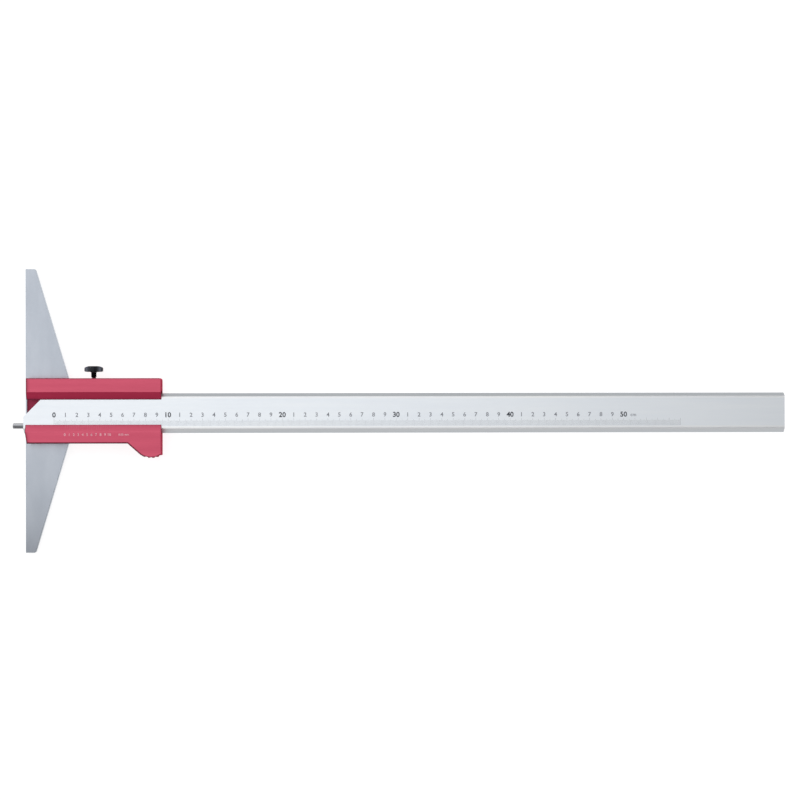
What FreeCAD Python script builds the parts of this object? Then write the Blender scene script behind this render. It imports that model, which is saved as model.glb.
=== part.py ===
import FreeCAD, Part
import math
import os

import Sketcher

# Depth caliper: a graduated aluminium beam slides through an anodised slider that is
# screwed on a flat steel bridge, and a wing screw locks it through a brass gib strip.
# Millimetres. The origin is the centre of the bridge's measuring face. +X runs along
# the beam away from the work, +Y across it, and +Z towards the graduated side.

SIZES = (
    # Bridge, a flat plate with two tapered wings
    ("bridge_length", 250.0),
    ("bridge_thick", 6.0),
    ("bridge_end_width", 8.5),
    ("bridge_mid_width", 37.6),
    ("bridge_corner_radius", 1.5),
    ("bridge_edge_break", 0.3),
    # Slider, a C section with two lips over the beam's bevels
    ("slider_inset", 1.5),
    ("slider_length", 119.0),
    ("slider_width", 57.2),
    ("slider_height", 14.0),
    ("slider_floor", 2.0),
    ("slider_edge_break", 0.6),
    ("slider_end_break", 0.5),
    ("hole_mouth_break", 0.4),
    ("slider_corner_radius", 2.0),
    ("lip_edge_thick", 0.6),
    ("upper_lip_edge", 9.9),
    ("upper_lip_slope", 6.6),
    ("lower_lip_edge", 12.2),
    ("lower_lip_slope", 6.5),
    ("upper_rail_setback", 1.0),
    ("lower_rail_slant", 1.7),
    ("slide_clearance", 0.08),
    # Thumb hook, a ribbed arc below the slider's far end
    ("hook_radius", 16.0),
    ("hook_centre_back", 8.7),
    ("hook_centre_drop", 25.4),
    ("hook_slope", 41.5),
    ("hook_edge_break", 0.4),
    ("scallop_count", 4),
    ("scallop_pitch", 13.4),
    ("scallop_first", 14.2),
    ("scallop_radius", 2.6),
    ("scallop_depth", 0.8),
    # Beam, a flat bar with bevelled front edges
    ("beam_length", 669.0),
    ("beam_width", 35.0),
    ("beam_thick", 8.0),
    ("beam_drop", 2.1),
    ("beam_side_height", 2.5),
    ("beam_upper_bevel", 3.1),
    ("beam_lower_bevel", 4.25),
    ("beam_back_break", 0.5),
    ("beam_facet", 0.5),
    ("beam_corner_cut", 20.6),
    ("beam_end_break", 0.6),
    # Measuring pin, which shows the reading past the bridge's face
    ("reading_at_rest", 10.0),
    ("pin_diameter", 4.5),
    ("pin_reach", 9.6),
    ("pin_seat_depth", 25.0),
    ("pin_drop", 13.2),
    ("pin_edge_break", 0.4),
    # End stop in the beam's back
    ("stop_from_end", 54.35),
    ("stop_thread", 3.0),
    ("stop_thread_length", 5.0),
    ("stop_head", 5.5),
    ("stop_head_height", 1.5),
    ("stop_slot_width", 0.8),
    ("stop_slot_depth", 0.7),
    # Gib strip and its set screws
    ("gib_thick", 2.0),
    ("gib_end_gap", 1.0),
    ("gib_screw_from_start", 38.5),
    ("gib_screw_from_end", 16.5),
    ("gib_screw_length", 8.0),
    ("gib_cone_depth", 0.8),
    # Lock screw and its pad
    ("lock_screw_place", 59.5),
    ("lock_neck_length", 5.2),
    ("pad_thick", 2.4),
    ("spigot_diameter", 2.0),
    ("spigot_length", 1.2),
    ("turn_clearance", 0.05),
    ("wing_span", 16.3),
    ("wing_height", 5.2),
    ("wing_thick", 5.6),
    ("wing_hub", 8.4),
    ("wing_waist_radius", 1.2),
    ("wing_top_bevel", 1.3),
    ("wing_lower_break", 0.6),
    ("wing_crown_radius", 26.0),
    ("wing_neck", 5.0),
    ("wing_neck_length", 4.3),
    ("wing_seat_depth", 3.2),
    # Screws and dowels that hold the bridge
    ("thread_size", 4.0),
    ("bridge_screw_length", 10.0),
    ("bridge_screw_head", 7.5),
    ("bridge_screw_near", 9.0),
    ("bridge_screw_inset", 8.6),
    ("dowel_diameter", 4.0),
    ("dowel_length", 10.0),
    ("dowel_place", 19.0),
    ("dowel_edge_break", 0.4),
    ("hole_spare_depth", 1.0),
    ("key_width", 2.5),
    ("grub_key_width", 2.0),
    ("key_depth", 1.8),
    ("seat_clearance", 0.02),
)

doc = FreeCAD.newDocument("DepthCaliper")
sheet = doc.addObject("Spreadsheet::Sheet", "Sizes")
for row, (alias, size) in enumerate(SIZES, 1):
    sheet.set(f"A{row}", alias)
    sheet.set(f"B{row}", str(size))
    sheet.setAlias(f"B{row}", alias)
doc.recompute()

# Levels up from the bridge's middle plane
BRIDGE_BACK = "(-Sizes.bridge_thick / 2)"
SLIDER_BACK = "(Sizes.bridge_thick / 2)"
FLOOR_TOP = f"({SLIDER_BACK} + Sizes.slider_floor)"
SLIDER_FRONT = f"({SLIDER_BACK} + Sizes.slider_height)"
BEAM_BACK = f"({FLOOR_TOP} + Sizes.slide_clearance)"
BEAM_SHOULDER = f"({BEAM_BACK} + Sizes.beam_side_height)"
BEAM_FRONT = f"({BEAM_BACK} + Sizes.beam_thick)"
BEAM_MIDDLE = f"({BEAM_BACK} + Sizes.beam_thick / 2)"
LIP_UNDERSIDE = f"({BEAM_FRONT} + Sizes.slide_clearance)"
LIP_EDGE_TOP = f"({LIP_UNDERSIDE} + Sizes.lip_edge_thick)"
SCREW_LEVEL = f"({SLIDER_BACK} + Sizes.slider_height / 2)"

# Places across the beam
SLIDER_TOP = "(Sizes.slider_width / 2)"
SLIDER_BOTTOM = "(-Sizes.slider_width / 2)"
UPPER_LIP_ROOT = "(Sizes.upper_lip_edge + Sizes.upper_lip_slope)"
LOWER_LIP_ROOT = "(-Sizes.lower_lip_edge - Sizes.lower_lip_slope)"
BEAM_TOP = "(Sizes.beam_width / 2 - Sizes.beam_drop)"
BEAM_BOTTOM = "(-Sizes.beam_width / 2 - Sizes.beam_drop)"
GIB_OUTSIDE = f"({BEAM_TOP} + Sizes.gib_thick)"
GIB_SLOT = f"({GIB_OUTSIDE} + Sizes.slide_clearance)"
CHANNEL_BOTTOM = f"({BEAM_BOTTOM} - Sizes.slide_clearance)"
UPPER_WALL_MIDDLE = f"(({SLIDER_TOP} + {GIB_SLOT}) / 2)"
LOWER_WALL_MIDDLE = f"(({SLIDER_BOTTOM} + {CHANNEL_BOTTOM}) / 2)"

# Places along the beam
SLIDER_START = "Sizes.slider_inset"
SLIDER_END = "(Sizes.slider_inset + Sizes.slider_length)"
PIN_TIP = "(-Sizes.reading_at_rest)"
BEAM_START = f"({PIN_TIP} + Sizes.pin_reach)"
BEAM_END = f"({BEAM_START} + Sizes.beam_length)"
HOOK_X = f"({SLIDER_END} - Sizes.hook_centre_back)"
HOOK_Y = "(-Sizes.hook_centre_drop)"
STOP_X = f"({BEAM_END} - Sizes.stop_from_end)"
GIB_START = f"({SLIDER_START} + Sizes.upper_rail_setback + Sizes.gib_end_gap)"
GIB_LENGTH = f"({SLIDER_END} - Sizes.gib_end_gap - {GIB_START})"
GIB_SCREWS = (
    f"({SLIDER_START} + Sizes.gib_screw_from_start)",
    f"({SLIDER_END} - Sizes.gib_screw_from_end)",
)
LOCK_X = f"({SLIDER_START} + Sizes.lock_screw_place)"
BRIDGE_SCREW_FAR = "(Sizes.bridge_mid_width - Sizes.bridge_screw_inset)"
BRIDGE_SCREWS = (
    ("Sizes.bridge_screw_near", UPPER_WALL_MIDDLE),
    (BRIDGE_SCREW_FAR, UPPER_WALL_MIDDLE),
    ("Sizes.bridge_screw_near", LOWER_WALL_MIDDLE),
    (BRIDGE_SCREW_FAR, LOWER_WALL_MIDDLE),
)
DOWELS = (
    ("Sizes.dowel_place", UPPER_WALL_MIDDLE),
    ("Sizes.dowel_place", LOWER_WALL_MIDDLE),
)

# Diameters of holes
THREAD_HOLE = "(Sizes.thread_size + 2 * Sizes.seat_clearance)"
DOWEL_HOLE = "(Sizes.dowel_diameter + 2 * Sizes.seat_clearance)"
LOCK_HOLE = "(Sizes.thread_size + 2 * Sizes.turn_clearance)"
SCREW_DEPTH = f"(Sizes.bridge_screw_length - Sizes.bridge_thick + Sizes.hole_spare_depth)"
DOWEL_DEPTH = f"(Sizes.dowel_length - Sizes.bridge_thick + Sizes.hole_spare_depth)"


def value(text):
    """The number that an expression on the sheet comes to."""
    result = sheet.evalExpression(text)
    return float(getattr(result, "Value", result))


def new_body(label):
    body = doc.addObject("PartDesign::Body", label)
    body.Label = label
    return body


def put(item, x="0", y="0", z="0", axis=(0, 0, 1), turn=0):
    """Stands a body at its place, turned about one axis."""
    item.Placement = FreeCAD.Placement(
        FreeCAD.Vector(value(x), value(y), value(z)),
        FreeCAD.Rotation(FreeCAD.Vector(*axis), turn),
    )
    for side, text in (("x", x), ("y", y), ("z", z)):
        item.setExpression(f"Placement.Base.{side}", text)


def new_sketch(body, name, role, x="0", y="0", lift="0"):
    """A sketch on one of the body's own planes, moved within it and lifted off it."""
    plane = next(f for f in body.Origin.OriginFeatures if f.Role == role)
    sketch = body.newObject("Sketcher::SketchObject", f"{body.Label}_{name}")
    sketch.AttachmentSupport = [(plane, "")]
    sketch.MapMode = "FlatFace"
    for side, text in (("x", x), ("y", y), ("z", lift)):
        sketch.setExpression(f"AttachmentOffset.Base.{side}", text)
    return sketch


def hold(sketch, kind, size, *where):
    """Adds a dimension to the sketch and binds it to an expression."""
    index = sketch.addConstraint(Sketcher.Constraint(kind, *where, value(size)))
    sketch.setExpression(f"Constraints[{index}]", size)


def outline(sketch, corners, arcs=None):
    """Closes a loop through the corners. arcs gives a side's radius and turning sense."""
    arcs = arcs or {}
    points = [FreeCAD.Vector(value(x), value(y), 0) for x, y in corners]
    sides = []
    for index, start in enumerate(points):
        end = points[(index + 1) % len(points)]
        if index in arcs:
            radius, sense = arcs[index]
            chord = end - start
            across = FreeCAD.Vector(-chord.y, chord.x, 0).normalize()
            reach = math.sqrt(value(radius) ** 2 - (chord.Length / 2) ** 2)
            centre = (start + end) / 2 + across * reach * sense
            middle = centre - across * value(radius) * sense
            sides.append(sketch.addGeometry(Part.Arc(start, middle, end)))
        else:
            sides.append(sketch.addGeometry(Part.LineSegment(start, end)))
    near = [1] * len(sides)
    far = [2] * len(sides)
    for index, (radius, sense) in arcs.items():
        hold(sketch, "Radius", radius, sides[index])
        if sense < 0:
            near[index], far[index] = 2, 1
    for index, side in enumerate(sides):
        after = (index + 1) % len(sides)
        sketch.addConstraint(
            Sketcher.Constraint("Coincident", side, far[index], sides[after], near[after])
        )
        x, y = corners[index]
        hold(sketch, "DistanceX", x, -1, 1, side, near[index])
        hold(sketch, "DistanceY", y, -1, 1, side, near[index])


def circles(sketch, centres, diameter):
    """Circles of one diameter at the given centres."""
    normal = FreeCAD.Vector(0, 0, 1)
    for x, y in centres:
        centre = FreeCAD.Vector(value(x), value(y), 0)
        ring = sketch.addGeometry(Part.Circle(centre, normal, value(diameter) / 2))
        hold(sketch, "DistanceX", x, -1, 1, ring, 3)
        hold(sketch, "DistanceY", y, -1, 1, ring, 3)
        hold(sketch, "Diameter", diameter, ring)


def hexagon(sketch, width):
    """A hexagon of the given width across its flats, about the sketch's centre."""
    reach = f"({width} / sqrt(3))"
    corners = [(f"({reach} * cos({a}))", f"({reach} * sin({a}))") for a in range(0, 360, 60)]
    outline(sketch, corners)


def pad(sketch, length):
    body = sketch.getParentGeoFeatureGroup()
    feature = body.newObject("PartDesign::Pad", f"{sketch.Name}_pad")
    feature.Profile = sketch
    feature.setExpression("Length", length)
    return feature


def pocket(sketch, depth=None, forward=False):
    """Cuts against the sketch's normal, or forward along it. No depth cuts both ways."""
    body = sketch.getParentGeoFeatureGroup()
    feature = body.newObject("PartDesign::Pocket", f"{sketch.Name}_cut")
    feature.Profile = sketch
    feature.Reversed = forward
    if depth is None:
        feature.Type = "ThroughAll"
        feature.Midplane = True
    else:
        feature.setExpression("Length", depth)
    return feature


def revolve(sketch, kind="PartDesign::Revolution"):
    """Turns the sketch about its own vertical axis."""
    body = sketch.getParentGeoFeatureGroup()
    feature = body.newObject(kind, f"{sketch.Name}_turned")
    feature.Profile = sketch
    feature.ReferenceAxis = (sketch, ["V_Axis"])
    feature.Angle = 360
    return feature


def dress(kind, size_name, base, size, test):
    """A fillet or chamfer of one size on the base's edges that pass the test."""
    doc.recompute()
    names = [f"Edge{n}" for n, edge in enumerate(base.Shape.Edges, 1) if test(edge)]
    body = base.getParentGeoFeatureGroup()
    feature = body.newObject(kind, f"{base.Name}_dressed")
    feature.Base = (base, names)
    feature.setExpression(size_name, size)
    return feature


def fillet(base, radius, test):
    return dress("PartDesign::Fillet", "Radius", base, radius, test)


def chamfer(base, size, test):
    return dress("PartDesign::Chamfer", "Size", base, size, test)


def runs_along_z(edge):
    """True of a straight edge that stands on the XY plane."""
    box = edge.BoundBox
    return box.XLength < 0.001 and box.YLength < 0.001


def lies_at(edge, level):
    """True of an edge that lies flat at one height."""
    box = edge.BoundBox
    return abs(box.ZMin - level) < 0.001 and abs(box.ZMax - level) < 0.001


def make_bridge():
    """Tapered plate with countersunk screw holes and dowel holes from the back."""
    body = new_body("bridge")
    half, flat = "(Sizes.bridge_length / 2)", SLIDER_TOP
    corners = (
        ("0", f"-{half}"),
        ("Sizes.bridge_end_width", f"-{half}"),
        ("Sizes.bridge_mid_width", f"-{flat}"),
        ("Sizes.bridge_mid_width", flat),
        ("Sizes.bridge_end_width", half),
        ("0", half),
    )
    plate = new_sketch(body, "plate", "XY_Plane", lift=BRIDGE_BACK)
    outline(plate, corners)
    shape = pad(plate, "Sizes.bridge_thick")
    end = value(half)
    outer = value("Sizes.bridge_end_width")

    def is_wing_corner(edge):
        box = edge.BoundBox
        return runs_along_z(edge) and abs(box.XMin - outer) < 0.001 and abs(box.YMin) > end - 1

    shape = fillet(shape, "Sizes.bridge_corner_radius", is_wing_corner)
    back, front = value(BRIDGE_BACK), value(SLIDER_BACK)
    shape = chamfer(
        shape,
        "Sizes.bridge_edge_break",
        lambda edge: lies_at(edge, back) or lies_at(edge, front),
    )
    screws = new_sketch(body, "screws", "XY_Plane", lift=BRIDGE_BACK)
    circles(screws, BRIDGE_SCREWS, THREAD_HOLE)
    pocket(screws, "Sizes.bridge_thick", forward=True)
    doc.recompute()
    sinks = body.newObject("PartDesign::Hole", "bridge_sinks")
    sinks.Profile = screws
    sinks.Reversed = True
    sinks.setExpression("Diameter", THREAD_HOLE)
    sinks.DepthType = "ThroughAll"
    sinks.HoleCutType = "Countersink"
    sinks.HoleCutCustomValues = True
    sinks.setExpression("HoleCutDiameter", "Sizes.bridge_screw_head + 4 * Sizes.seat_clearance")
    sinks.HoleCutCountersinkAngle = 90
    dowels = new_sketch(body, "dowels", "XY_Plane", lift=BRIDGE_BACK)
    circles(dowels, DOWELS, DOWEL_HOLE)
    pocket(dowels, "Sizes.bridge_thick", forward=True)
    return body


def make_slider():
    """C section along the beam, with the thumb hook, its scallops and the screw holes."""
    body = new_body("slider")
    edge_break = "Sizes.slider_edge_break"
    corners = (
        (SLIDER_BOTTOM, SLIDER_BACK),
        (SLIDER_TOP, SLIDER_BACK),
        (SLIDER_TOP, f"({SLIDER_FRONT} - {edge_break})"),
        (f"({SLIDER_TOP} - {edge_break})", SLIDER_FRONT),
        (UPPER_LIP_ROOT, SLIDER_FRONT),
        ("Sizes.upper_lip_edge", LIP_EDGE_TOP),
        ("Sizes.upper_lip_edge", LIP_UNDERSIDE),
        (GIB_SLOT, LIP_UNDERSIDE),
        (GIB_SLOT, FLOOR_TOP),
        (CHANNEL_BOTTOM, FLOOR_TOP),
        (CHANNEL_BOTTOM, BEAM_SHOULDER),
        (f"({CHANNEL_BOTTOM} + Sizes.beam_lower_bevel)", LIP_UNDERSIDE),
        ("(-Sizes.lower_lip_edge)", LIP_UNDERSIDE),
        ("(-Sizes.lower_lip_edge)", LIP_EDGE_TOP),
        (LOWER_LIP_ROOT, SLIDER_FRONT),
        (f"({SLIDER_BOTTOM} + {edge_break})", SLIDER_FRONT),
        (SLIDER_BOTTOM, f"({SLIDER_FRONT} - {edge_break})"),
    )
    section = new_sketch(body, "section", "YZ_Plane", lift=SLIDER_START)
    outline(section, corners)
    pad(section, "Sizes.slider_length")

    # The hook's arc meets a straight ramp at a tangent, and both end inside the lower wall.
    slope = "Sizes.hook_slope"
    touch_x = f"({HOOK_X} - Sizes.hook_radius * sin({slope}))"
    touch_y = f"({HOOK_Y} - Sizes.hook_radius * cos({slope}))"
    root_x = f"({touch_x} - ({LOWER_WALL_MIDDLE} - {touch_y}) / tan({slope}))"
    arc_drop = "sqrt(Sizes.hook_radius ^ 2 - Sizes.hook_centre_back ^ 2)"
    hook = new_sketch(body, "hook", "XY_Plane", lift=SLIDER_BACK)
    hook_corners = (
        (root_x, LOWER_WALL_MIDDLE),
        (touch_x, touch_y),
        (SLIDER_END, f"({HOOK_Y} - {arc_drop})"),
        (SLIDER_END, LOWER_WALL_MIDDLE),
    )
    outline(hook, hook_corners, arcs={1: ("Sizes.hook_radius", 1)})
    shape = pad(hook, "Sizes.slider_height")
    front, low = value(SLIDER_FRONT), value(SLIDER_BOTTOM)

    def is_hook_rim(edge):
        box = edge.BoundBox
        return lies_at(edge, front) and box.YMin < low and box.XLength > 1

    chamfer(shape, "Sizes.hook_edge_break", is_hook_rim)

    # Scallops between the hook's ridges, each a shallow bite across the arc
    bite = "(Sizes.hook_radius + Sizes.scallop_radius - Sizes.scallop_depth)"
    first = "Sizes.scallop_first"
    scallop = new_sketch(body, "scallop", "XY_Plane", x=HOOK_X, y=HOOK_Y)
    circles(
        scallop,
        ((f"(-{bite} * sin({first}))", f"(-{bite} * cos({first}))"),),
        "(2 * Sizes.scallop_radius)",
    )
    first_bite = pocket(scallop)
    doc.recompute()
    bites = body.newObject("PartDesign::PolarPattern", "slider_scallops")
    bites.Originals = [first_bite]
    bites.Axis = (scallop, ["N_Axis"])
    bites.setExpression("Angle", "Sizes.scallop_pitch * (Sizes.scallop_count - 1)")
    bites.setExpression("Occurrences", "Sizes.scallop_count")
    body.Tip = bites

    # The upper rail stops a little short of the floor at the measuring end.
    setback = new_sketch(body, "setback", "XY_Plane", lift=FLOOR_TOP)
    step = f"({SLIDER_START} + Sizes.upper_rail_setback)"
    outline(setback, (("0", "0"), (step, "0"), (step, SLIDER_TOP), ("0", SLIDER_TOP)))
    pocket(setback, "Sizes.slider_height", forward=True)

    # The lower rail's end slants back towards its outer edge.
    slant = new_sketch(body, "slant", "XY_Plane")
    slant_corners = (
        (SLIDER_START, LOWER_LIP_ROOT),
        ("0", LOWER_LIP_ROOT),
        ("0", SLIDER_BOTTOM),
        (f"({SLIDER_START} + Sizes.lower_rail_slant)", SLIDER_BOTTOM),
    )
    outline(slant, slant_corners)
    rails = pocket(slant)

    far, top = value(SLIDER_END), value(SLIDER_TOP)

    def is_far_corner(edge):
        box = edge.BoundBox
        at_end = abs(box.XMin - far) < 0.001 and abs(box.XMax - far) < 0.001
        return at_end and box.YMin > top - 0.001 and box.ZLength > 1

    rounded = fillet(rails, "Sizes.slider_corner_radius", is_far_corner)
    lip = value(LIP_EDGE_TOP)

    def is_end_rim(edge):
        box = edge.BoundBox
        level = box.XLength < 0.001 or box.ZLength < 0.001
        at_end = box.XMin > far - 0.001 or box.XMax < value(SLIDER_START) + 2
        return level and at_end and box.ZMin > lip - 0.001 and box.YLength > 1

    chamfer(rounded, "Sizes.slider_end_break", is_end_rim)

    screws = new_sketch(body, "screws", "XY_Plane", lift=SLIDER_BACK)
    circles(screws, BRIDGE_SCREWS, THREAD_HOLE)
    pocket(screws, SCREW_DEPTH, forward=True)
    dowels = new_sketch(body, "dowels", "XY_Plane", lift=SLIDER_BACK)
    circles(dowels, DOWELS, DOWEL_HOLE)
    pocket(dowels, DOWEL_DEPTH, forward=True)
    wall = f"({SLIDER_TOP} - {UPPER_LIP_ROOT})"
    grubs = new_sketch(body, "grubs", "XZ_Plane", lift=f"(-{SLIDER_TOP})")
    circles(grubs, [(x, SCREW_LEVEL) for x in GIB_SCREWS], THREAD_HOLE)
    pocket(grubs, wall, forward=True)
    lock = new_sketch(body, "lock", "XZ_Plane", lift=f"(-{SLIDER_TOP})")
    circles(lock, ((LOCK_X, SCREW_LEVEL),), LOCK_HOLE)
    drilled = pocket(lock, wall, forward=True)

    def is_mouth(edge):
        return edge.BoundBox.YMin > top - 0.001 and edge.Curve.TypeId == "Part::GeomCircle"

    chamfer(drilled, "Sizes.hole_mouth_break", is_mouth)
    return body


def make_beam():
    """Flat bar with dovetail bevels, a 45 degree corner and the pin's and stop's holes."""
    body = new_body("beam")
    back_break = "Sizes.beam_back_break"
    corners = (
        (f"({BEAM_BOTTOM} + {back_break})", BEAM_BACK),
        (f"({BEAM_TOP} - {back_break})", BEAM_BACK),
        (BEAM_TOP, f"({BEAM_BACK} + {back_break})"),
        (BEAM_TOP, BEAM_SHOULDER),
        (f"({BEAM_TOP} - Sizes.beam_upper_bevel)", BEAM_FRONT),
        (f"({BEAM_BOTTOM} + Sizes.beam_lower_bevel)", BEAM_FRONT),
        (BEAM_BOTTOM, BEAM_SHOULDER),
        (BEAM_BOTTOM, f"({BEAM_BACK} + {back_break})"),
    )
    section = new_sketch(body, "section", "YZ_Plane", lift=BEAM_START)
    outline(section, corners)
    bar = pad(section, "Sizes.beam_length")
    far, front = value(BEAM_END), value(BEAM_FRONT)

    def is_far_rim(edge):
        box = edge.BoundBox
        return lies_at(edge, front) and box.XMin > far - 0.001

    bar = chamfer(bar, "Sizes.beam_end_break", is_far_rim)

    def is_bevel_edge(edge):
        box = edge.BoundBox
        return lies_at(edge, front) and box.XLength > box.YLength and box.XLength > 1

    chamfer(bar, "Sizes.beam_facet", is_bevel_edge)
    cut = "Sizes.beam_corner_cut"
    corner = new_sketch(body, "corner", "XY_Plane")
    corner_cut = (
        (BEAM_START, f"({BEAM_TOP} - {cut})"),
        (f"({BEAM_START} + {cut})", BEAM_TOP),
        (BEAM_START, BEAM_TOP),
    )
    outline(corner, corner_cut)
    pocket(corner)
    seat = new_sketch(body, "pin_seat", "YZ_Plane", lift=BEAM_START)
    seat_diameter = "(Sizes.pin_diameter + 2 * Sizes.seat_clearance)"
    circles(seat, (("(-Sizes.pin_drop)", BEAM_MIDDLE),), seat_diameter)
    pocket(seat, "Sizes.pin_seat_depth", forward=True)
    stop = new_sketch(body, "stop", "XY_Plane", lift=BEAM_BACK)
    stop_hole = "(Sizes.stop_thread + 2 * Sizes.seat_clearance)"
    circles(stop, ((STOP_X, "(-Sizes.beam_drop)"),), stop_hole)
    pocket(stop, "(Sizes.stop_thread_length + Sizes.hole_spare_depth)", forward=True)
    return body


def turned_body(label, corners):
    """A body turned about its own Z axis from a half profile of radius and height."""
    body = new_body(label)
    profile = new_sketch(body, "profile", "XZ_Plane")
    outline(profile, corners)
    revolve(profile)
    return body


def make_measuring_pin():
    """Hardened rod pressed in the beam's end, with its tip edge broken."""
    radius, edge = "(Sizes.pin_diameter / 2)", "Sizes.pin_edge_break"
    length = "(Sizes.pin_reach + Sizes.pin_seat_depth)"
    corners = (
        ("0", "0"),
        (radius, "0"),
        (radius, f"({length} - {edge})"),
        (f"({radius} - {edge})", length),
        ("0", length),
    )
    body = turned_body("measuring_pin", corners)
    foot = f"({BEAM_START} + Sizes.pin_seat_depth)"
    put(body, foot, "(-Sizes.pin_drop)", BEAM_MIDDLE, axis=(0, 1, 0), turn=-90)
    return body


def make_end_stop_screw():
    """Low slotted screw in the beam's back, which meets the slider's far end."""
    thread, head = "(Sizes.stop_thread / 2)", "(Sizes.stop_head / 2)"
    height, length = "Sizes.stop_head_height", "Sizes.stop_thread_length"
    corners = (
        ("0", f"(-{height})"),
        (head, f"(-{height})"),
        (head, "0"),
        (thread, "0"),
        (thread, length),
        ("0", length),
    )
    body = turned_body("end_stop_screw", corners)
    slot = new_sketch(body, "slot", "XY_Plane", lift=f"(-{height})")
    side, reach = "(Sizes.stop_slot_width / 2)", "Sizes.stop_head"
    slot_corners = (
        (f"(-{reach})", f"(-{side})"),
        (reach, f"(-{side})"),
        (reach, side),
        (f"(-{reach})", side),
    )
    outline(slot, slot_corners)
    pocket(slot, "Sizes.stop_slot_depth", forward=True)
    put(body, STOP_X, "(-Sizes.beam_drop)", BEAM_BACK)
    return body


def make_bridge_screw(number, x, y):
    """Countersunk socket screw from the bridge's back into the slider's wall."""
    thread, head = "(Sizes.thread_size / 2)", "(Sizes.bridge_screw_head / 2)"
    corners = (
        ("0", "0"),
        (head, "0"),
        (thread, f"({head} - {thread})"),
        (thread, "Sizes.bridge_screw_length"),
        ("0", "Sizes.bridge_screw_length"),
    )
    body = turned_body(f"bridge_screw_{number}", corners)
    socket = new_sketch(body, "socket", "XY_Plane")
    hexagon(socket, "Sizes.key_width")
    pocket(socket, "Sizes.key_depth", forward=True)
    put(body, x, y, BRIDGE_BACK)
    return body


def make_bridge_dowel(number, x, y):
    """Ground pin with both ends broken, flush with the bridge's back."""
    radius, edge = "(Sizes.dowel_diameter / 2)", "Sizes.dowel_edge_break"
    length = "Sizes.dowel_length"
    corners = (
        ("0", "0"),
        (f"({radius} - {edge})", "0"),
        (radius, edge),
        (radius, f"({length} - {edge})"),
        (f"({radius} - {edge})", length),
        ("0", length),
    )
    body = turned_body(f"bridge_dowel_{number}", corners)
    put(body, x, y, BRIDGE_BACK)
    return body


def make_gib_strip():
    """Strip that fills the upper wall's slot and bears on the beam's upper bevel."""
    body = new_body("gib_strip")
    gap = "Sizes.slide_clearance"
    corners = (
        (f"({BEAM_TOP} + {gap})", BEAM_BACK),
        (GIB_OUTSIDE, BEAM_BACK),
        (GIB_OUTSIDE, BEAM_FRONT),
        (f"({BEAM_TOP} - Sizes.beam_upper_bevel + {gap})", BEAM_FRONT),
        (f"({BEAM_TOP} + {gap})", BEAM_SHOULDER),
    )
    section = new_sketch(body, "section", "YZ_Plane", lift=GIB_START)
    outline(section, corners)
    pad(section, GIB_LENGTH)
    doc.recompute()
    depth = "(Sizes.gib_cone_depth + Sizes.seat_clearance)"
    for number, x in enumerate(GIB_SCREWS, 1):
        dimple = new_sketch(body, f"dimple_{number}", "XY_Plane", x=x, y=GIB_OUTSIDE, lift=SCREW_LEVEL)
        outline(dimple, (("0", f"(-{depth})"), (depth, "0"), ("0", "0")))
        revolve(dimple, "PartDesign::Groove")
    return body


def make_gib_screw(number, x):
    """Set screw with a cone point in the gib strip's dimple and a socket outside."""
    radius, cone = "(Sizes.thread_size / 2)", "Sizes.gib_cone_depth"
    length = "Sizes.gib_screw_length"
    corners = (
        ("0", "0"),
        (cone, cone),
        (radius, cone),
        (radius, length),
        ("0", length),
    )
    body = turned_body(f"gib_screw_{number}", corners)
    socket = new_sketch(body, "socket", "XY_Plane", lift=length)
    hexagon(socket, "Sizes.grub_key_width")
    pocket(socket, "Sizes.key_depth")
    put(body, x, f"({GIB_OUTSIDE} - {cone})", SCREW_LEVEL, axis=(1, 0, 0), turn=-90)
    return body


def make_pressure_pad():
    """Round pad that swivels on the lock screw's spigot and presses the gib strip."""
    radius = "(Sizes.thread_size / 2)"
    bore = "(Sizes.spigot_diameter / 2 + Sizes.turn_clearance)"
    floor = "(Sizes.pad_thick - Sizes.spigot_length - Sizes.turn_clearance)"
    corners = (
        ("0", "0"),
        (radius, "0"),
        (radius, "Sizes.pad_thick"),
        (bore, "Sizes.pad_thick"),
        (bore, floor),
        ("0", floor),
    )
    body = turned_body("pressure_pad", corners)
    put(body, LOCK_X, GIB_OUTSIDE, SCREW_LEVEL, axis=(1, 0, 0), turn=-90)
    return body


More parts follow.
